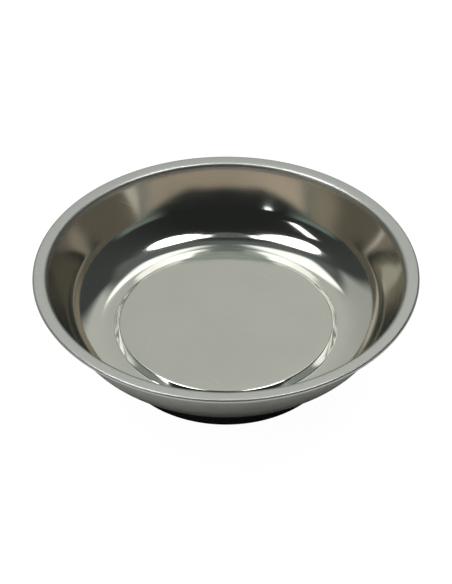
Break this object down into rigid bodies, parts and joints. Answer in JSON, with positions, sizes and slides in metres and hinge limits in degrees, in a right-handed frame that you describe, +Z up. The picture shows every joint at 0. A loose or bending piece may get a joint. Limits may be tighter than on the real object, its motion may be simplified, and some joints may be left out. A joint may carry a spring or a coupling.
{
  "type": "magnetic parts dish",
  "caption": "Round polished metal parts dish with a flat hemmed rim and a raised floor centre, carried on a black rubber-booted ring magnet that holds loose fasteners.",
  "frame": {"origin": "centre of the resting face of the rubber boot, on the dish's axis", "axes": "+Z up along the axis of revolution, out of the open side of the dish"},
  "size_m": [0.15, 0.15, 0.0414],
  "materials": {
    "stainless_sheet": "polished inside with fine circular draw lines, satin rim and outside",
    "zinc_steel": "bright zinc plated",
    "zinc_steel_plate": "bright zinc plated sheet",
    "ferrite": "dull sintered ferrite, ground faces",
    "black_rubber": "matte moulded rubber",
    "nylon": "moulded nylon"
  },
  "bodies": {
    "root": {"dish": "stainless_sheet", "weld_stud": "zinc_steel", "pole_plate": "zinc_steel_plate", "ring_magnet": "ferrite", "rubber_boot": "black_rubber", "washer": "zinc_steel", "lock_nut": "zinc_steel", "nut_insert": "nylon"}
  },
  "joints": []
}
